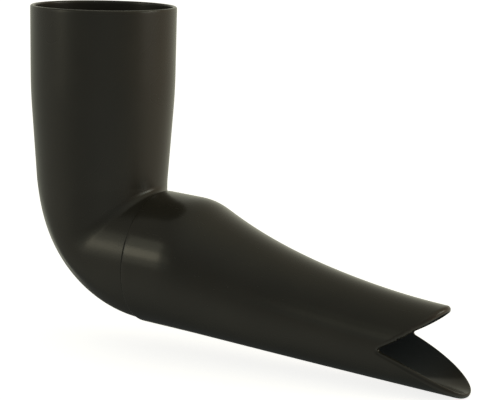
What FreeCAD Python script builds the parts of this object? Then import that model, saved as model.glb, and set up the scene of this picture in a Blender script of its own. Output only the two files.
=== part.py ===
import FreeCAD, Part
import math
import os

# Downpipe shoe: a socketed 87 degree elbow with a tapered, fish-mouthed spout bonded on its spigot.
# Frame: origin at the centre of the socket's seat, +Z up out of the socket, +X the way the spout throws.

# ---- socket (mm) ----
SEAT_DEPTH = 44.0        # rim to the seat, where the bore stops being cylindrical
RIM_R = 40.0             # outside radius at the rim
BORE_R = 37.8            # bore for a 75 mm pipe
RIM_ROUND = 1.0          # rounding of both rim edges
DRAFT = 0.0080           # outside draft of the socket, radius per depth
TAPER = 0.0702           # outside taper below the knee, radius per depth
KNEE_DEPTH = 46.6        # depth of the knee between draft and taper
KNEE_BLEND = 19.4        # length of the rounded knee
WALL = 2.3               # wall of taper and bend

# ---- bend ----
BEND_DEPTH = 96.38        # rim to the plane where the bend begins
TURN_DEG = 87.0          # angle the waterway turns through
THROAT_R = 3.35           # radius of the inner corner of the bend
VALLEY_GROW = 3.9        # the inner corner's radius grows by this much from the throat to the sides
BLEND_FROM = 64.0        # degrees round the pipe from the throat: the tight valley begins to open
BLEND_TO = 142.0         # from here to the heel the bend is one sweep about a common centre
PIPE_R = 35.41            # outside radius at the end of the bend

# ---- spigot and joint ----
SPIGOT_R = 34.3         # outside radius of the spigot inside the collar
SPIGOT_LEN = 20.3
JOINT_GAP = 0.4          # open joint ring between the elbow's shoulder and the collar

# ---- collar and spout (distances along the spout's axis from the shoulder) ----
COLLAR_R = 36.38
COLLAR_ROUND = 0.9       # rounding of the collar's leading edge
COLLAR_PLAIN = 13.5      # end of the plain round collar
SEAT_IN_COLLAR = 20.8    # shoulder the spigot's end faces
SPOUT_WALL = 2.9
CREST_START = 18.97       # the top line begins to fall
CREST_END = 36.29         # the top line has its steepest fall
FALL = 0.438             # steepest fall of the top line
FALL_LEN = 92.4          # length over which the fall eases off
FALL_END = -0.0560       # fall the top line would reach far out
BELLY = 0.0290           # slope of the underside off the axis
BELLY_BACK = 2.854       # the underside comes back by this much over BELLY_SPAN
BELLY_SPAN = 183.84
TIP_LIFT = 0.726           # the top line lifts by this much at the upper lip
TIP_LIFT_FROM = 135.5
TIP_LIFT_LEN = 37.74
SPOUT_SPAN = 207.0       # length of the untrimmed spout

# ---- fish mouth ----
NOTCH_S = 146.3          # where the lips' lines meet, along the axis
NOTCH_H = -17.9          # the same, above the axis
UPPER_DEG = 32.7         # rise of the upper lip's edge at the notch
UPPER_CURVE = 0.00751    # the edge steepens towards the tip
LOWER_DEG = 17.4         # fall of the lower lip's edge at the notch
LOWER_CURVE = 0.00374    # the edge steepens towards the tip
NOTCH_ROUND = 2.9        # softness of the notch's bottom
LIP_ROUND = 2.1          # rounding of the lips' outer edge
LIP_ROUND_IN = 0.5       # rounding of the lips' inner edge

V = FreeCAD.Vector
os.makedirs("parts", exist_ok=True)


def z_of(depth):
    return SEAT_DEPTH - depth


# ---------------------------------------------------------------- socket with its taper
KNEE_R = RIM_R - DRAFT * KNEE_DEPTH
BEND_R = KNEE_R - TAPER * (BEND_DEPTH - KNEE_DEPTH)
BEND_BORE_R = BEND_R - WALL


def p2(r, depth):
    return V(r, 0, z_of(depth))


half = KNEE_BLEND / 2
a1 = p2(KNEE_R + DRAFT * half, KNEE_DEPTH - half)
a3 = p2(KNEE_R - TAPER * half, KNEE_DEPTH + half)
a2 = p2(KNEE_R - (TAPER - DRAFT) * half / 4, KNEE_DEPTH)
q = RIM_ROUND
m = q * (1 - math.sqrt(0.5))
socket_edges = [
    Part.makeLine(p2(BEND_BORE_R, BEND_DEPTH), p2(BORE_R, SEAT_DEPTH)),
    Part.makeLine(p2(BORE_R, SEAT_DEPTH), p2(BORE_R, q)),
    Part.Arc(p2(BORE_R, q), p2(BORE_R + m, m), p2(BORE_R + q, 0)).toShape(),
    Part.makeLine(p2(BORE_R + q, 0), p2(RIM_R - q, 0)),
    Part.Arc(p2(RIM_R - q, 0), p2(RIM_R - m, m), p2(RIM_R - DRAFT * q, q)).toShape(),
    Part.makeLine(p2(RIM_R - DRAFT * q, q), a1),
    Part.Arc(a1, a2, a3).toShape(),
    Part.makeLine(a3, p2(BEND_R, BEND_DEPTH)),
    Part.makeLine(p2(BEND_R, BEND_DEPTH), p2(BEND_BORE_R, BEND_DEPTH)),
]
socket = Part.Face(Part.Wire(socket_edges)).revolve(V(0, 0, 0), V(0, 0, 1), 360)

# ---------------------------------------------------------------- bend
TURN = math.radians(TURN_DEG)
CB = V(BEND_R + THROAT_R, 0, z_of(BEND_DEPTH))      # centre the bend turns about
T2 = math.tan(TURN / 2)
D = V(math.sin(TURN), 0, -math.cos(TURN))           # the way the spout throws
N = V(math.cos(TURN), 0, math.sin(TURN))            # up, square to it
Y = V(0, 1, 0)
Z = V(0, 0, 1)
CORNER = N * -1 - D * T2                            # from the sweep's centre towards the inner corner


def circle(centre, phi, r):
    w = Part.Wire(Part.makeCircle(r))
    w.Placement = FreeCAD.Placement(centre, FreeCAD.Rotation(V(0, 1, 0), -math.degrees(phi)))
    return w


def valley(t):
    """How much tighter than the common sweep the bend is at the angle t from the throat, and its radius there."""
    c = math.cos(t)
    sweep = THROAT_R + PIPE_R * (1 - c)
    tight = THROAT_R + VALLEY_GROW * (1 - c)
    x = (math.degrees(math.acos(max(-1.0, min(1.0, c)))) - BLEND_FROM) / (BLEND_TO - BLEND_FROM)
    x = min(max(x, 0.0), 1.0)
    b = x ** 3 * (10 - 15 * x + 6 * x * x)
    rho = tight * (1 - b) + sweep * b
    return sweep - rho, rho


def bend_point(t, f, inset):
    """Straight, arc, straight along the pipe's line at the angle t, at the fraction f of its length."""
    k, rho0 = valley(t)
    a = k * T2
    way = f * (2 * a + rho0 * TURN)
    r = PIPE_R + (BEND_R - PIPE_R) * math.exp(-way * TAPER / (BEND_R - PIPE_R))
    rho = THROAT_R + r - (r - inset) * math.cos(t) - k
    phi = min(max((way - a) / rho0, 0.0), TURN)
    u = V(-math.cos(phi), 0, -math.sin(phi))
    return (CB + CORNER * k + u * rho + Z * max(a - way, 0.0) + D * max(way - a - rho0 * TURN, 0.0)
            + Y * ((r - inset) * math.sin(t)))


ROUND = [5.0 * i for i in range(72)]


def bend_ring(f, inset):
    b = Part.BSplineCurve()
    b.interpolate(Points=[bend_point(math.radians(a), f, inset) for a in ROUND], PeriodicFlag=True,
                  Parameters=ROUND + [360.0])
    return Part.Wire(b.toShape())


def bend_solid(inset):
    rings = [circle(V(0, 0, z_of(BEND_DEPTH)), 0, BEND_R - inset)]
    rings += [bend_ring(i / 30, inset) for i in range(1, 30)]
    rings += [circle(A0, TURN, PIPE_R - inset)]
    return Part.makeLoft(rings, True, False)


A0 = CB - N * (PIPE_R + THROAT_R)                   # axis point in the shoulder's plane
bend = bend_solid(0.0).cut(bend_solid(WALL))

# ---------------------------------------------------------------- spigot


def tube(s0, s1, r_out, r_in):
    return Part.makeCylinder(r_out, s1 - s0, A0 + D * s0, D).cut(
        Part.makeCylinder(r_in, s1 - s0, A0 + D * s0, D))


spigot = tube(0, SPIGOT_LEN, SPIGOT_R, PIPE_R - WALL)
elbow = socket.fuse([bend, spigot]).removeSplitter()

# ---------------------------------------------------------------- spout


def top_h(s):
    w = CREST_END - CREST_START
    x = min(max((s - CREST_START) / w, 0.0), 1.0)
    fall = FALL * w * (x ** 3 - 0.5 * x ** 4)
    y = max(s - CREST_END, 0.0)
    fall += (FALL - FALL_END) * FALL_LEN * (1 - math.exp(-y / FALL_LEN)) + FALL_END * y
    lift = TIP_LIFT * (max(s - TIP_LIFT_FROM, 0.0) / TIP_LIFT_LEN) ** 2
    return COLLAR_R - fall + lift


def bottom_h(s):
    x = max(s - CREST_START, 0.0)
    ramp = x * x / 40 if x < 20 else x - 10
    return -COLLAR_R - BELLY * ramp + BELLY_BACK * (x / BELLY_SPAN) ** 2


def mid_rad(s):
    t, b = top_h(s), bottom_h(s)
    return (t + b) / 2, (t - b) / 2


def spout_ring(s, inset):
    c, r = mid_rad(s)
    return circle(A0 + D * s + N * c, TURN, r - inset)


stations = [COLLAR_PLAIN, 17, 20, 23, 26, 29, 32, 35, 38, 42, 47, 54, 63, 74, 87, 102, 119, 138, 158, 176,
            192, SPOUT_SPAN]
body_out = Part.makeLoft([spout_ring(s, 0) for s in stations], True, False)
body_in = Part.makeLoft(
    [spout_ring(s, SPOUT_WALL) for s in [SEAT_IN_COLLAR] + [s for s in stations if s > 23]], True, False)

# plain collar with its rounded leading edge
k = COLLAR_ROUND
n1 = k * (1 - math.sqrt(0.5))


def pc(r, s):
    return A0 + D * s + N * r


collar_edges = [
    Part.makeLine(pc(SPIGOT_R, COLLAR_PLAIN), pc(SPIGOT_R, JOINT_GAP)),
    Part.makeLine(pc(SPIGOT_R, JOINT_GAP), pc(COLLAR_R - k, JOINT_GAP)),
    Part.Arc(pc(COLLAR_R - k, JOINT_GAP), pc(COLLAR_R - n1, JOINT_GAP + n1), pc(COLLAR_R, JOINT_GAP + k)).toShape(),
    Part.makeLine(pc(COLLAR_R, JOINT_GAP + k), pc(COLLAR_R, COLLAR_PLAIN)),
    Part.makeLine(pc(COLLAR_R, COLLAR_PLAIN), pc(SPIGOT_R, COLLAR_PLAIN)),
]
collar = Part.Face(Part.Wire(collar_edges)).revolve(A0, D, 360)
body = body_out.cut(Part.makeCylinder(SPIGOT_R, SEAT_IN_COLLAR - COLLAR_PLAIN, A0 + D * COLLAR_PLAIN, D))
body = body.cut(body_in)

# fish mouth: the wall ends square to itself along a line that rises and falls from the notch


def upper_edge(s):
    x = s - NOTCH_S
    return NOTCH_H + math.tan(math.radians(UPPER_DEG)) * x + UPPER_CURVE * max(x, 0) ** 2


def lower_edge(s):
    x = s - NOTCH_S
    return NOTCH_H - math.tan(math.radians(LOWER_DEG)) * x - LOWER_CURVE * max(x, 0) ** 2


def removed(s, v):
    c, r = mid_rad(s)
    h = c + r * math.cos(v)
    a, b = upper_edge(s) - h, h - lower_edge(s)
    f = max(NOTCH_ROUND - abs(a - b), 0.0) / NOTCH_ROUND
    return min(a, b) - f * f * NOTCH_ROUND / 4


def end_s(v):
    lo, hi = NOTCH_S - 12, SPOUT_SPAN
    for _ in range(60):
        mid = (lo + hi) / 2
        if removed(mid, v) > 0:
            hi = mid
        else:
            lo = mid
    return hi


def notch_angle():
    best = min(range(60, 150), key=lambda a: end_s(math.radians(a)))
    return best


NA = notch_angle()
angles = []
a = -180.0
while a < 180.0 - 1e-6:
    angles.append(a)
    near = abs(abs(a) - NA)
    a += 0.5 if near < 6 else (1.0 if near < 15 else 3.0)


def mouth_curve(factor):
    pts = []
    for a in angles:
        v = math.radians(a)
        s = end_s(v)
        c, r = mid_rad(s)
        pts.append(A0 + D * s + N * (c + factor * r * math.cos(v)) + Y * (factor * r * math.sin(v)))
    b = Part.BSplineCurve()
    b.interpolate(Points=pts, PeriodicFlag=True, Parameters=angles + [angles[0] + 360.0])
    return b.toShape()


mouth = Part.makeRuledSurface(mouth_curve(0.5), mouth_curve(1.35)).extrude(D * 90)
spout = collar.fuse(body).cut(mouth).removeSplitter()


def facet(inset0, pull0, inset1, pull1):
    """Cutter that takes off the lips' edge along one facet, from a line in one wall's side to a line past the end."""
    wires = []
    for inset, pull in ((inset0, pull0), (inset1, pull1)):
        pts = []
        for a in angles:
            v = math.radians(a)
            s = end_s(v)
            c, r = mid_rad(s)
            pts.append(A0 + D * (s - pull) + N * (c + (r - inset) * math.cos(v)) + Y * ((r - inset) * math.sin(v)))
        b = Part.BSplineCurve()
        b.interpolate(Points=pts, PeriodicFlag=True, Parameters=angles + [angles[0] + 360.0])
        wires.append(b.toShape())
    return Part.makeRuledSurface(wires[0], wires[1]).extrude(D * 8)


def rounding(radius, side):
    """Facets at 30 and 60 degrees that touch the round of this radius; side +1 starts from the outer wall."""
    out = []
    for deg in (30.0, 60.0):
        sn, cs = math.sin(math.radians(deg)), math.cos(math.radians(deg))
        touch = (radius * (1 - cs), radius * (1 - sn))
        ends = []
        for way in (-1.6, 1.6):
            i, pull = touch[0] + way * sn, touch[1] - way * cs
            ends.append((i if side > 0 else SPOUT_WALL - i, pull))
        out.append(facet(ends[0][0], ends[0][1], ends[1][0], ends[1][1]))
    return out


for cutter in rounding(LIP_ROUND, 1) + rounding(LIP_ROUND_IN, -1):
    spout = spout.cut(cutter)

for name, shape in (("elbow", elbow), ("spout", spout)):
    solids = shape.Solids
    print(name, shape.ShapeType, len(solids), shape.isValid(), [round(x.Volume, 1) for x in solids], shape.BoundBox)
    solid = max(solids, key=lambda x: x.Volume)
    solid.exportStep("parts/" + name + ".step")
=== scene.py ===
import math

import bpy
import numpy as np
from mathutils import Matrix, Vector


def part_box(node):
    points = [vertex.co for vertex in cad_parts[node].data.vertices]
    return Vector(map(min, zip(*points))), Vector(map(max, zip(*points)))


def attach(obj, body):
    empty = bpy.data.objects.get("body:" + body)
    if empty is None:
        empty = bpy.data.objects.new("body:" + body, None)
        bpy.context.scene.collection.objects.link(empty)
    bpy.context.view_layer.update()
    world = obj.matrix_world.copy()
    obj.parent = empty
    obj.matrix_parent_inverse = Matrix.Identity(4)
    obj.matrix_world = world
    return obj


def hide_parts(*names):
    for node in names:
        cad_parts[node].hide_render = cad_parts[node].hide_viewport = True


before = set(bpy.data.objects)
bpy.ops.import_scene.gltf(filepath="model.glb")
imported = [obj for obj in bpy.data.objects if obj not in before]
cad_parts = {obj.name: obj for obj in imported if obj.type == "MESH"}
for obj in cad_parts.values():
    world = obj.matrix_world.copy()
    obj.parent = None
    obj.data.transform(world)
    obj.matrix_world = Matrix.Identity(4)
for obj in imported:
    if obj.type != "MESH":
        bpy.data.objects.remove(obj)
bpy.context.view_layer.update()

MM = 0.001

# ------------------------------------------------------------------ dimensions, mm, as in the CAD
SEAT_DEPTH, RIM_R, BORE_R, RIM_ROUND = 44.0, 40.0, 37.8, 1.0
DRAFT, TAPER, KNEE_DEPTH, KNEE_BLEND, WALL = 0.0080, 0.0702, 46.6, 19.4, 2.3
BEND_DEPTH, TURN, THROAT_R, PIPE_R = 96.38, math.radians(87.0), 3.35, 35.41
VALLEY_R, VALLEY_GROW, BLEND_FROM, BLEND_TO = 3.35, 3.9, 64.0, 142.0
SPIGOT_R, SPIGOT_LEN, JOINT_GAP = 34.3, 20.3, 0.4
COLLAR_R, COLLAR_ROUND, COLLAR_PLAIN, SEAT_IN_COLLAR, SPOUT_WALL = 36.38, 0.9, 13.5, 20.8, 2.9
CREST_START, CREST_END, FALL, FALL_LEN, FALL_END = 18.97, 36.29, 0.438, 92.4, -0.0560
BELLY, BELLY_BACK, BELLY_SPAN = 0.0290, 2.854, 183.84
TIP_LIFT, TIP_LIFT_FROM, TIP_LIFT_LEN = 0.726, 135.5, 37.74
NOTCH_S, NOTCH_H, NOTCH_ROUND = 146.3, -17.9, 2.9
UPPER_DEG, UPPER_CURVE, LOWER_DEG, LOWER_CURVE = 32.7, 0.00751, 17.4, 0.00374
LIP_ROUND, LIP_ROUND_IN = 2.1, 0.5
SPOUT_SPAN = 207.0

KNEE_R = RIM_R - DRAFT * KNEE_DEPTH
BEND_R = KNEE_R - TAPER * (BEND_DEPTH - KNEE_DEPTH)
BEND_BORE_R = BEND_R - WALL

X, Y, Z = np.eye(3)
CB = np.array([BEND_R + THROAT_R, 0.0, SEAT_DEPTH - BEND_DEPTH])
D = np.array([math.sin(TURN), 0.0, -math.cos(TURN)])
N = np.array([math.cos(TURN), 0.0, math.sin(TURN)])


A0 = CB - N * (PIPE_R + THROAT_R)


# ------------------------------------------------------------------ meshes
def tube_mesh(name, rows, masks, smooth_deg=28.0):
    """Closed tube from rings of points: rows is (rings, around, 3) in mm, joined in both directions."""
    rows = np.asarray(rows, float)
    n, m = rows.shape[:2]
    idx = np.arange(n * m).reshape(n, m)
    a = idx
    b = np.roll(idx, -1, axis=1)
    c = np.roll(b, -1, axis=0)
    d = np.roll(idx, -1, axis=0)
    faces = np.stack([a, b, c, d], -1).reshape(-1, 4)
    me = bpy.data.meshes.new(name)
    me.from_pydata((rows.reshape(-1, 3) * MM).tolist(), [], faces.tolist())
    me.update()
    for key, values in masks.items():
        att = me.attributes.new(key, "FLOAT", "POINT")
        att.data.foreach_set("value", np.asarray(values, np.float32).reshape(-1))
    me.polygons.foreach_set("use_smooth", np.ones(len(me.polygons), bool))
    me.set_sharp_from_angle(angle=math.radians(smooth_deg))
    obj = bpy.data.objects.new(name, me)
    bpy.context.scene.collection.objects.link(obj)
    return obj


AROUND = 256
T = np.linspace(0, 2 * math.pi, AROUND, endpoint=False)


def ring_socket(r, depth):
    p = np.zeros((AROUND, 3))
    p[:, 0], p[:, 1], p[:, 2] = r * np.cos(T), r * np.sin(T), SEAT_DEPTH - depth
    return p


def valley(ct):
    """How much tighter than one common sweep the bend is at each place round the pipe, and its radius there."""
    sweep = THROAT_R + PIPE_R * (1 - ct)
    tight = VALLEY_R + VALLEY_GROW * (1 - ct)
    x = np.clip((np.degrees(np.arccos(ct)) - BLEND_FROM) / (BLEND_TO - BLEND_FROM), 0, 1)
    b = x ** 3 * (10 - 15 * x + 6 * x * x)
    rho = tight * (1 - b) + sweep * b
    return sweep - rho, rho


def ring_bend(q, inset):
    """Ring at the fraction q of the way round the bend: straight, arc, straight along each line of the pipe."""
    ct, st = np.cos(T), np.sin(T)
    k, rho0 = valley(ct)
    a = k * math.tan(TURN / 2)
    l = q * (2 * a + rho0 * TURN)
    r = PIPE_R + (BEND_R - PIPE_R) * np.exp(-l * TAPER / (BEND_R - PIPE_R))
    rho = THROAT_R + r - (r - inset) * ct - k
    phi = np.clip((l - a) / rho0, 0, TURN)
    before = np.maximum(a - l, 0)
    after = np.maximum(l - a - rho0 * TURN, 0)
    e1 = -N - math.tan(TURN / 2) * D
    u = np.stack([-np.cos(phi), 0 * phi, -np.sin(phi)], -1)
    return (CB + k[:, None] * e1 + rho[:, None] * u + before[:, None] * Z + after[:, None] * D
            + ((r - inset) * st)[:, None] * Y)


def ring_spigot(r, s):
    return A0 + D * s + r * (np.cos(T)[:, None] * N + np.sin(T)[:, None] * Y)


def outer_r(depth):
    """Outside radius of the socket and its taper, with the rounded knee as a parabola."""
    h = KNEE_BLEND / 2
    x = depth - KNEE_DEPTH
    if x <= -h:
        return KNEE_R - DRAFT * x
    if x >= h:
        return KNEE_R - TAPER * x
    return KNEE_R - DRAFT * x - (TAPER - DRAFT) * (x + h) ** 2 / (4 * h)


def build_elbow():
    rows, rim, inside, hidden = [], [], [], []

    def add(ring, is_rim=0.0, is_in=0.0, is_hidden=0.0):
        rows.append(ring)
        rim.append(np.full(AROUND, is_rim))
        inside.append(np.full(AROUND, is_in))
        hidden.append(np.full(AROUND, is_hidden))

    q = RIM_ROUND
    for k in range(7):
        a = math.radians(90 * k / 6)
        add(ring_socket(RIM_R - 0.02 - q + q * math.sin(a), q - q * math.cos(a)), 1.0)
    for depth in np.concatenate([np.linspace(2.2, 35, 13), np.linspace(36.5, 56.5, 21), np.linspace(59, 95.2, 15)]):
        add(ring_socket(outer_r(depth), depth))
    for q1 in np.concatenate([np.linspace(0, 0.98, 72), [0.99, 0.997]]):
        add(ring_bend(q1, 0.0))
    add(ring_spigot(PIPE_R - 0.05, -0.03))
    add(ring_spigot(PIPE_R - 0.12, 0.0))
    add(ring_spigot(SPIGOT_R + 0.02, 0.0), 0, 0, 1)
    add(ring_spigot(SPIGOT_R, 0.02), 0, 0, 1)
    add(ring_spigot(SPIGOT_R, SPIGOT_LEN - 0.3), 0, 0, 1)
    add(ring_spigot(SPIGOT_R - 0.3, SPIGOT_LEN), 0, 0, 1)
    r_in = PIPE_R - WALL
    add(ring_spigot(r_in + 0.2, SPIGOT_LEN), 0, 1)
    add(ring_spigot(r_in, SPIGOT_LEN - 0.2), 0, 1)
    for s in (14.0, 7.0):
        add(ring_spigot(r_in, s), 0, 1)
    for q1 in np.linspace(1, 0, 48):
        add(ring_bend(q1, WALL), 0, 1)
    for depth in np.linspace(95.2, 45, 18):
        f = (depth - SEAT_DEPTH) / (BEND_DEPTH - SEAT_DEPTH)
        add(ring_socket(BORE_R + (BEND_BORE_R - BORE_R) * f, depth), 0, 1)
    for depth in np.linspace(44, 2.2, 14):
        add(ring_socket(BORE_R, depth), 0, 1)
    for k in range(6):
        a = math.radians(90 * k / 6)
        add(ring_socket(BORE_R + q - q * math.cos(a), q - q * math.sin(a)), 1.0, 0.5)
    add(ring_socket(BORE_R + q, 0.0), 1.0)
    return tube_mesh("elbow_shell", rows, {"rim": rim, "inside": inside, "hidden": hidden})


def top_h(s):
    w = CREST_END - CREST_START
    x = np.clip((s - CREST_START) / w, 0.0, 1.0)
    fall = FALL * w * (x ** 3 - 0.5 * x ** 4)
    y = np.maximum(s - CREST_END, 0.0)
    fall = fall + (FALL - FALL_END) * FALL_LEN * (1 - np.exp(-y / FALL_LEN)) + FALL_END * y
    lift = TIP_LIFT * (np.maximum(s - TIP_LIFT_FROM, 0.0) / TIP_LIFT_LEN) ** 2
    return COLLAR_R - fall + lift


def bottom_h(s):
    x = np.maximum(s - CREST_START, 0.0)
    ramp = np.where(x < 20, x * x / 40, x - 10)
    return -COLLAR_R - BELLY * ramp + BELLY_BACK * (x / BELLY_SPAN) ** 2


def mid_rad(s):
    t, b = top_h(s), bottom_h(s)
    return (t + b) / 2, (t - b) / 2


def on_wall(s, v, inset):
    c, r = mid_rad(s)
    rr = r - inset
    return (A0 + np.asarray(s)[..., None] * D + (c + rr * np.cos(v))[..., None] * N
            + (rr * np.sin(v))[..., None] * Y)


def removed(s, v):
    c, r = mid_rad(s)
    h = c + r * np.cos(v)
    x = s - NOTCH_S
    up = NOTCH_H + math.tan(math.radians(UPPER_DEG)) * x + UPPER_CURVE * np.maximum(x, 0) ** 2
    lo = NOTCH_H - math.tan(math.radians(LOWER_DEG)) * x - LOWER_CURVE * np.maximum(x, 0) ** 2
    a, b = up - h, h - lo
    f = np.maximum(NOTCH_ROUND - np.abs(a - b), 0.0) / NOTCH_ROUND
    return np.minimum(a, b) - f * f * NOTCH_ROUND / 4


def end_s(v):
    lo = np.full_like(v, NOTCH_S - 12)
    hi = np.full_like(v, SPOUT_SPAN)
    for _ in range(60):
        mid = (lo + hi) / 2
        gone = removed(mid, v) > 0
        hi = np.where(gone, mid, hi)
        lo = np.where(gone, lo, mid)
    return hi


def mouth_angles():
    coarse = np.radians(np.arange(60, 150))
    na = math.degrees(coarse[np.argmin(end_s(coarse))])
    out, a = [], -180.0
    while a < 180.0 - 1e-6:
        out.append(a)
        near = abs(abs(a) - na)
        a += 0.45 if near < 7 else (0.7 if near < 25 else 1.4)
    return np.radians(np.array(out))


def build_spout():
    v = mouth_angles()
    m = len(v)
    se = end_s(v)
    # trimming marks left on the near upper lip
    rng = np.random.default_rng(7)
    h_edge = (mid_rad(se)[0] + mid_rad(se)[1] * np.cos(v))
    near = np.where((v < 0) & (se > 153.4) & (se < 166.0) & (h_edge > NOTCH_H + 3), 1.0, 0.0)
    knots = np.interp(np.arange(m) / 2.6, np.arange(m), rng.uniform(-0.55, 0.35, m))
    se = se + near * knots
    cut0 = 138.0

    edge = on_wall(se, v, 0.0)
    tang = np.roll(edge, -1, 0) - np.roll(edge, 1, 0)
    tang /= np.linalg.norm(tang, axis=1)[:, None]
    e = 0.05
    ds = (on_wall(se + e, v, 0.0) - on_wall(se - e, v, 0.0))
    dv = (on_wall(se, v + e / 30, 0.0) - on_wall(se, v - e / 30, 0.0))
    nrm = np.cross(dv, ds)
    nrm /= np.linalg.norm(nrm, axis=1)[:, None]
    radial = np.cos(v)[:, None] * N + np.sin(v)[:, None] * Y
    nrm *= np.sign((nrm * radial).sum(1))[:, None]
    back = np.cross(nrm, tang)
    back /= np.linalg.norm(back, axis=1)[:, None]
    back *= -np.sign((back * D).sum(1))[:, None]
    # direction along the end face, from the outer edge to the inner one
    inner_edge = on_wall(se, v, SPOUT_WALL)
    down = inner_edge - edge
    down /= np.linalg.norm(down, axis=1)[:, None]

    def to_sv(p):
        w = p - A0
        s = w @ D
        c, _ = mid_rad(s)
        return s, np.arctan2(w @ Y, w @ N - c)

    def wall_rows(s0, s_end, v_end, count, inset, power=1.0):
        out = []
        dvv = (v_end - v + math.pi) % (2 * math.pi) - math.pi
        for k in range(count):
            f = (k / (count - 1)) ** power
            out.append(on_wall(s0 + (s_end - s0) * f, v + dvv * f, inset))
        return out

    # the lighter trimmed-end colour of the lip, which on the upper tip is also painted light for the light its end face
    # catches: strongest on the upper tip, a little on the lower tip, the notch not at all
    x_up = np.clip((se - 157.7) / 9.7, 0, 1)
    x_lo = np.clip((se - 180.0) / 11.6, 0, 1)
    rubbed_and_lit_tip = np.where(h_edge > NOTCH_H, 0.12 + 0.88 * x_up * x_up * (3 - 2 * x_up), 0.30 * x_lo)

    rows, lip, inside, hidden = [], [], [], []

    def add(ring, is_lip=0.0, is_in=0.0, is_hidden=0.0):
        rows.append(ring)
        lip.append(is_lip * rubbed_and_lit_tip)
        inside.append(np.full(m, is_in))
        hidden.append(np.full(m, is_hidden))

    def ring_c(r, s):
        return A0 + np.multiply.outer(s * np.ones(m), D) + r * (np.cos(v)[:, None] * N + np.sin(v)[:, None] * Y)

    # the collar sits tight against the elbow at the top, so the open joint shows from the sides down
    shut = np.clip((np.degrees(np.abs(v)) - 50.0) / 24.0, 0, 1)
    gap = JOINT_GAP * (0.12 + 0.88 * shut * shut * (3 - 2 * shut))
    k = COLLAR_ROUND
    for i in range(7):
        a = math.radians(90 * i / 6)
        add(ring_c(COLLAR_R - k + k * math.sin(a), gap + k - k * math.cos(a)))
    for s in (4.0, 7.0, 10.0, 13.0, 14.0):
        add(ring_c(COLLAR_R, s))
    for s in np.concatenate([np.arange(15, 46, 1.0), np.arange(47, 70, 2.0), np.arange(71, cut0 - 1, 3.0)]):
        add(on_wall(np.full(m, s), v, 0.0))
    # outer wall up to the rounded lip
    s1, v1 = to_sv(edge + back * LIP_ROUND)
    for r in wall_rows(cut0, s1, v1, 30, 0.0, 0.8):
        add(r)
    centre = edge + back * LIP_ROUND + down * LIP_ROUND
    for i in range(1, 8):
        a = math.radians(90 * i / 7)
        add(centre - down * LIP_ROUND * math.cos(a) - back * LIP_ROUND * math.sin(a), min(1.0, 0.25 + i / 8))
    width = np.linalg.norm(inner_edge - edge, axis=1)[:, None]
    for f in (0.35, 0.7):
        add(edge + down * (LIP_ROUND + (width - LIP_ROUND - LIP_ROUND_IN) * f), 1.0)
    centre = edge + down * (width - LIP_ROUND_IN) + back * LIP_ROUND_IN
    for i in range(0, 5):
        a = math.radians(90 * i / 4)
        add(centre - back * LIP_ROUND_IN * math.cos(a) + down * LIP_ROUND_IN * math.sin(a), 1.0 - i / 5, i / 5)
    s2, v2 = to_sv(edge + down * width + back * LIP_ROUND_IN)
    for r in wall_rows(cut0, s2, v2, 26, SPOUT_WALL, 0.8)[::-1][1:]:
        add(r, 0, 1)
    for s in np.concatenate([np.arange(135, 70, -3.0), np.arange(69, 46, -2.0), np.arange(45, 21.5, -1.5)]):
        add(on_wall(np.full(m, s), v, SPOUT_WALL), 0, 1)
    c, r = mid_rad(np.array(SEAT_IN_COLLAR))
    add(on_wall(np.full(m, SEAT_IN_COLLAR + 0.15), v, SPOUT_WALL), 0, 1)
    add(on_wall(np.full(m, SEAT_IN_COLLAR), v, SPOUT_WALL - 0.15), 0, 1, 1)
    add(ring_c(SPIGOT_R - 0.05, SEAT_IN_COLLAR), 0, 0, 1)
    add(ring_c(SPIGOT_R, SEAT_IN_COLLAR - 0.05), 0, 0, 1)
    add(ring_c(SPIGOT_R, 8.0), 0, 0, 1)
    add(ring_c(SPIGOT_R, gap + 0.2), 0, 0, 1)
    add(ring_c(SPIGOT_R + 0.2, gap), 0, 0, 1)
    return tube_mesh("spout_shell", rows, {"lip": lip, "inside": inside, "hidden": hidden})


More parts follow.
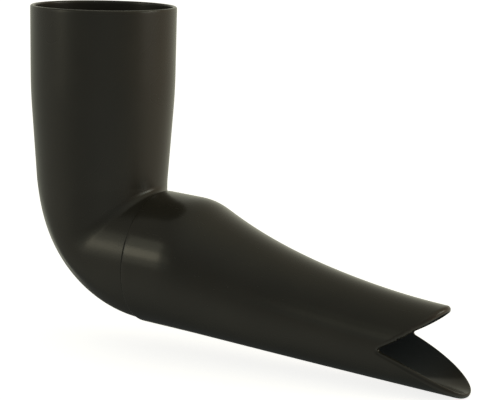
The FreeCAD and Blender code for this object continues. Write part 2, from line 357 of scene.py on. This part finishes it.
# ------------------------------------------------------------------ materials
def plastic(name, edge_attr):
    mat = bpy.data.materials.new(name)
    mat.use_nodes = True
    nt = mat.node_tree
    nt.nodes.clear()
    new, link = nt.nodes.new, nt.links.new
    out = new("ShaderNodeOutputMaterial")
    bs = new("ShaderNodeBsdfPrincipled")
    link(bs.outputs["BSDF"], out.inputs["Surface"])
    bs.inputs["IOR"].default_value = 1.5
    tc = new("ShaderNodeTexCoord")

    def noise(scale, detail, rough, dist=0.0, vec=None):
        n = new("ShaderNodeTexNoise")
        n.inputs["Scale"].default_value = scale
        n.inputs["Detail"].default_value = detail
        n.inputs["Roughness"].default_value = rough
        n.inputs["Distortion"].default_value = dist
        link(vec if vec is not None else tc.outputs["Object"], n.inputs["Vector"])
        return n

    def ramp(fac, stops):
        r = new("ShaderNodeValToRGB")
        el = r.color_ramp.elements
        el[0].position, el[0].color = stops[0]
        el[1].position, el[1].color = stops[-1]
        for pos, col in stops[1:-1]:
            x = el.new(pos)
            x.color = col
        link(fac, r.inputs["Fac"])
        return r

    def attr(key):
        a = new("ShaderNodeAttribute")
        a.attribute_type = "GEOMETRY"
        a.attribute_name = key
        return a.outputs["Fac"]

    def mix(fac, a, b):
        x = new("ShaderNodeMix")
        x.data_type = "RGBA"
        link(fac, x.inputs["Factor"])
        link(a, x.inputs[6])
        if isinstance(b, tuple):
            x.inputs[7].default_value = b
        else:
            link(b, x.inputs[7])
        return x.outputs[2]

    # cloudy pigment, a little warmer and cooler by turns
    cloud = noise(28.0, 4.0, 0.55, 0.4)
    pig = ramp(cloud.outputs["Fac"], [
        (0.25, (0.0235, 0.0220, 0.0172, 1)), (0.5, (0.0275, 0.0254, 0.0196, 1)), (0.78, (0.0330, 0.0300, 0.0230, 1))])
    fleck = noise(900.0, 2.0, 0.6)
    fl = ramp(fleck.outputs["Fac"], [(0.62, (0, 0, 0, 1)), (0.74, (1, 1, 1, 1))])
    flm = new("ShaderNodeMath")
    flm.operation = "MULTIPLY"
    link(fl.outputs["Color"], flm.inputs[0])
    flm.inputs[1].default_value = 0.18
    col = mix(flm.outputs[0], pig.outputs["Color"], (0.040, 0.036, 0.027, 1))
    # trimmed or rubbed edges show lighter and duller; on the spout's upper tip the lighter colour is also painted
    # light, standing in for light falling on its end face
    edge_mask_noise = noise(160.0, 3.0, 0.6, 0.6)
    wr = ramp(edge_mask_noise.outputs["Fac"], [(0.3, (0.25, 0.25, 0.25, 1)), (0.7, (1, 1, 1, 1))])
    edge_wear_and_tip_light = new("ShaderNodeMath")
    edge_wear_and_tip_light.operation = "MULTIPLY"
    link(attr(edge_attr), edge_wear_and_tip_light.inputs[0])
    link(wr.outputs["Color"], edge_wear_and_tip_light.inputs[1])
    # edge colour: plain rim wear on the elbow; on the spout lip a trimmed-end tone plus painted light on the upper tip
    edge_wear_and_tip_light_col = (0.060, 0.044, 0.032, 1) if edge_attr == "lip" else (0.040, 0.037, 0.029, 1)
    col = mix(edge_wear_and_tip_light.outputs[0], col, edge_wear_and_tip_light_col)
    # painted fill light inside: the spout's waterway is lightened and cooled in its colour to stand in for light
    # reaching it, more so up the pipe than at the lip
    inside_painted_fill = new("ShaderNodeMath")
    inside_painted_fill.operation = "MULTIPLY"
    link(attr("inside"), inside_painted_fill.inputs[0])
    inside_painted_fill.inputs[1].default_value = 0.9
    if edge_attr == "lip":
        where = new("ShaderNodeSeparateXYZ")
        link(tc.outputs["Object"], where.inputs[0])
        run = new("ShaderNodeMapRange")
        run.inputs["From Min"].default_value = 0.165
        run.inputs["From Max"].default_value = 0.215
        link(where.outputs["X"], run.inputs["Value"])
        # painted fill light: lighter and cooler deeper in the spout, near the lip's own tone at the mouth
        painted_fill_tint = ramp(run.outputs["Result"], [(0.0, (0.185, 0.212, 0.235, 1)), (1.0, (0.046, 0.043, 0.037, 1))])
        col = mix(inside_painted_fill.outputs[0], col, painted_fill_tint.outputs["Color"])
    else:
        # the elbow's inside: a milder painted fill light, a little lighter than its outside
        col = mix(inside_painted_fill.outputs[0], col, (0.034, 0.031, 0.026, 1))
    link(col, bs.inputs["Base Color"])

    # gloss that varies in soft patches and along fine handling scratches
    patch = noise(14.0, 3.0, 0.5, 0.3)
    low, high = (0.17, 0.24) if edge_attr == "lip" else (0.25, 0.32)
    rr = ramp(patch.outputs["Fac"], [(0.3, (low, low, low, 1)), (0.7, (high, high, high, 1))])
    mp = new("ShaderNodeMapping")
    mp.inputs["Scale"].default_value = (60.0, 900.0, 400.0)
    mp.inputs["Rotation"].default_value = (0.4, 0.9, 0.3)
    link(tc.outputs["Object"], mp.inputs["Vector"])
    scr = noise(1.0, 2.0, 0.7, 0.0, mp.outputs["Vector"])
    sc = ramp(scr.outputs["Fac"], [(0.66, (0, 0, 0, 1)), (0.76, (1, 1, 1, 1))])
    rgh = mix(sc.outputs["Color"], rr.outputs["Color"], (0.36, 0.36, 0.36, 1))
    worn = 0.33 if edge_attr == "lip" else 0.20
    rgh = mix(edge_wear_and_tip_light.outputs[0], rgh, (worn, worn, worn, 1))
    link(rgh, bs.inputs["Roughness"])

    # faint orange-peel of the moulding, with the scratches just below it
    peel = noise(420.0, 3.0, 0.5)
    b1 = new("ShaderNodeBump")
    b1.inputs["Strength"].default_value = 0.05
    b1.inputs["Distance"].default_value = 0.0004
    link(peel.outputs["Fac"], b1.inputs["Height"])
    b2 = new("ShaderNodeBump")
    b2.invert = True
    b2.inputs["Strength"].default_value = 0.04
    b2.inputs["Distance"].default_value = 0.0003
    link(sc.outputs["Color"], b2.inputs["Height"])
    link(b1.outputs["Normal"], b2.inputs["Normal"])
    link(b2.outputs["Normal"], bs.inputs["Normal"])
    return mat


elbow = build_elbow()
elbow.data.materials.append(plastic("elbow_plastic_look", "rim"))
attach(elbow, "root")
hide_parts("elbow")

spout = build_spout()
spout.data.materials.append(plastic("spout_plastic_look", "lip"))
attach(spout, "root")
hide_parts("spout")

# ------------------------------------------------------------------ floor
floor_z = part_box("spout")[0].z - 0.0002
me = bpy.data.meshes.new("floor")
h = 6.0
me.from_pydata([(-h, -h, floor_z), (h, -h, floor_z), (h, h, floor_z), (-h, h, floor_z)], [], [(0, 1, 2, 3)])
floor = bpy.data.objects.new("floor", me)
bpy.context.scene.collection.objects.link(floor)
fm = bpy.data.materials.new("pale_floor")
fm.use_nodes = True
fb = fm.node_tree.nodes["Principled BSDF"]
fb.inputs["Base Color"].default_value = (0.9, 0.9, 0.9, 1)
fb.inputs["Roughness"].default_value = 0.9
fb.inputs["Specular IOR Level"].default_value = 0.0
fb.inputs["Emission Color"].default_value = (1, 1, 1, 1)
fb.inputs["Emission Strength"].default_value = 0.8
floor.data.materials.append(fm)
floor.visible_glossy = False
floor.visible_diffuse = False

# ------------------------------------------------------------------ light
scene = bpy.context.scene
world = bpy.data.worlds.new("studio")
scene.world = world
world.use_nodes = True
wn, wl = world.node_tree.nodes, world.node_tree.links
wn.clear()
wo = wn.new("ShaderNodeOutputWorld")
bg_cam = wn.new("ShaderNodeBackground")
bg_cam.inputs["Color"].default_value = (1, 1, 1, 1)
bg_cam.inputs["Strength"].default_value = 1.0
bg_env = wn.new("ShaderNodeBackground")
bg_env.inputs["Strength"].default_value = 1.0
# soft surroundings: broad patches of room light, each (azimuth, elevation, power, r, g, b); the back ends at a horizon
ROOM = (
    (0, 90, 3, 0.201, 0.200, 0.156),
    (35, -42, 3, 0.385, 0.388, 0.335),
    (35, 42, 3, 0.194, 0.204, 0.189),
    (-55, 0, 3, 0.349, 0.334, 0.271),
    (-55, -42, 3, 0.110, 0.118, 0.100),
    (125, 0, 3, 0.249, 0.140, 0.080),
    (125, -42, 3, 0.432, 0.500, 0.422),
    (125, 42, 3, 0.246, 0.223, 0.140),
    (215, 0, 3, 0.330, 0.338, 0.250),
    (215, 42, 3, 0.145, 0.135, 0.116),
    (180, 0, 6, 0.197, 0.188, 0.152),
    (250, 0, 6, 0.050, 0.060, 0.053),
    (236, -31, 20, 0.050, 0.050, 0.043),
    (215, -5, 4, 0.240, 0.240, 0.205),
    (262, 4, 8, 0.060, 0.060, 0.052),
)
wtc = wn.new("ShaderNodeTexCoord")
height = wn.new("ShaderNodeSeparateXYZ")
wl.new(wtc.outputs["Generated"], height.inputs[0])
horizon = wn.new("ShaderNodeMapRange")
horizon.interpolation_type = "SMOOTHSTEP"
horizon.inputs["From Min"].default_value = -0.52
horizon.inputs["From Max"].default_value = -0.30
wl.new(height.outputs["Z"], horizon.inputs["Value"])
base = wn.new("ShaderNodeCombineXYZ")
base.inputs[0].default_value, base.inputs[1].default_value, base.inputs[2].default_value = 0.006, 0.006, 0.012
total = base.outputs["Vector"]
for az, el, power, cr, cg, cb in ROOM:
    ra, re = math.radians(az), math.radians(el)
    dot = wn.new("ShaderNodeVectorMath")
    dot.operation = "DOT_PRODUCT"
    dot.inputs[1].default_value = (math.sin(ra) * math.cos(re), -math.cos(ra) * math.cos(re), math.sin(re))
    wl.new(wtc.outputs["Generated"], dot.inputs[0])
    pos = wn.new("ShaderNodeMath")
    pos.operation = "MAXIMUM"
    pos.inputs[1].default_value = 0.0
    wl.new(dot.outputs["Value"], pos.inputs[0])
    lobe = wn.new("ShaderNodeMath")
    lobe.operation = "POWER"
    lobe.inputs[1].default_value = power
    wl.new(pos.outputs[0], lobe.inputs[0])
    amount = lobe.outputs[0]
    if 170 < az < 260 and el > -30:
        cut = wn.new("ShaderNodeMath")
        cut.operation = "MULTIPLY"
        wl.new(amount, cut.inputs[0])
        wl.new(horizon.outputs["Result"], cut.inputs[1])
        amount = cut.outputs[0]
    sca = wn.new("ShaderNodeVectorMath")
    sca.operation = "SCALE"
    sca.inputs[0].default_value = (cr, cg, cb)
    wl.new(amount, sca.inputs["Scale"])
    add = wn.new("ShaderNodeVectorMath")
    add.operation = "ADD"
    wl.new(total, add.inputs[0])
    wl.new(sca.outputs["Vector"], add.inputs[1])
    total = add.outputs["Vector"]
wl.new(total, bg_env.inputs["Color"])
lp = wn.new("ShaderNodeLightPath")
ms = wn.new("ShaderNodeMixShader")
wl.new(lp.outputs["Is Camera Ray"], ms.inputs["Fac"])
wl.new(bg_env.outputs[0], ms.inputs[1])
wl.new(bg_cam.outputs[0], ms.inputs[2])
wl.new(ms.outputs[0], wo.inputs["Surface"])

AIM = Vector((0.085, 0.0, -0.06))


def softbox(name, az, el, wide, high, glow, dist=2.5):
    """Softbox in the direction az, el from the object (az 0 is -Y, az 90 is +X), its angles and its glow in r, g, b."""
    a, e = math.radians(az), math.radians(el)
    d = Vector((math.sin(a) * math.cos(e), -math.cos(a) * math.cos(e), math.sin(e)))
    li = bpy.data.lights.new(name, "AREA")
    li.shape = "RECTANGLE"
    li.size = 2 * dist * math.tan(math.radians(wide / 2)) * math.cos(e)
    li.size_y = 2 * dist * math.tan(math.radians(high / 2))
    top = max(glow)
    li.energy = math.pi * li.size * li.size_y * top
    li.color = [g / top for g in glow]
    ob = bpy.data.objects.new(name, li)
    bpy.context.scene.collection.objects.link(ob)
    ob.location = AIM + d * dist
    ob.rotation_euler = (-d).to_track_quat("-Z", "Y").to_euler()
    ob.visible_camera = False
    return ob


softbox("left_low", -35, 2, 16, 10, (0.445, 0.441, 0.332))
softbox("left_mid", -35, 13, 16, 12, (1.95, 1.84, 1.36))
softbox("left_high", -35, 26.5, 16, 15, (0.632, 0.631, 0.473))
softbox("left_far", -50.5, 13, 15, 12, (0.7, 0.74, 0.72))
softbox("left_near", -19.5, 13, 15, 12, (0.219, 0.233, 0.175))
softbox("left_near_low", -19.5, 2, 15, 10, (0.047, 0.070, 0.067))
softbox("left_near_high", -19.5, 26.5, 15, 15, (0.071, 0.085, 0.061))
softbox("right_low", 105.5, 4.5, 15, 15, (0.476, 0.459, 0.421))
softbox("right_mid", 105.5, 21, 15, 18, (1.75, 2.05, 1.80))
softbox("right_low_far", 120.5, 4.5, 15, 15, (0.168, 0.181, 0.210))
softbox("right_high", 120.5, 21, 15, 18, (3.451, 3.537, 3.026))

# ------------------------------------------------------------------ camera
cam = bpy.data.cameras.new("camera")
cam.sensor_fit = "HORIZONTAL"
cam.sensor_width = 36.0
cam.lens = 123.893
cam.clip_start, cam.clip_end = 0.05, 50.0
co = bpy.data.objects.new("camera", cam)
scene.collection.objects.link(co)
right = Vector((0.86009188, 0.50960327, 0.02337674))
up = Vector((-0.11257066, 0.14489951, 0.98302186))
fwd = Vector((-0.49756388, 0.84812065, -0.18199326))
m = Matrix.Identity(4)
for i in range(3):
    m[i][0], m[i][1], m[i][2] = right[i], up[i], -fwd[i]
m.translation = Vector((0.5481873, -0.7717510, 0.1123383))
co.matrix_world = m
scene.camera = co
scene.view_settings.view_transform = "Standard"
scene.view_settings.look = "None"
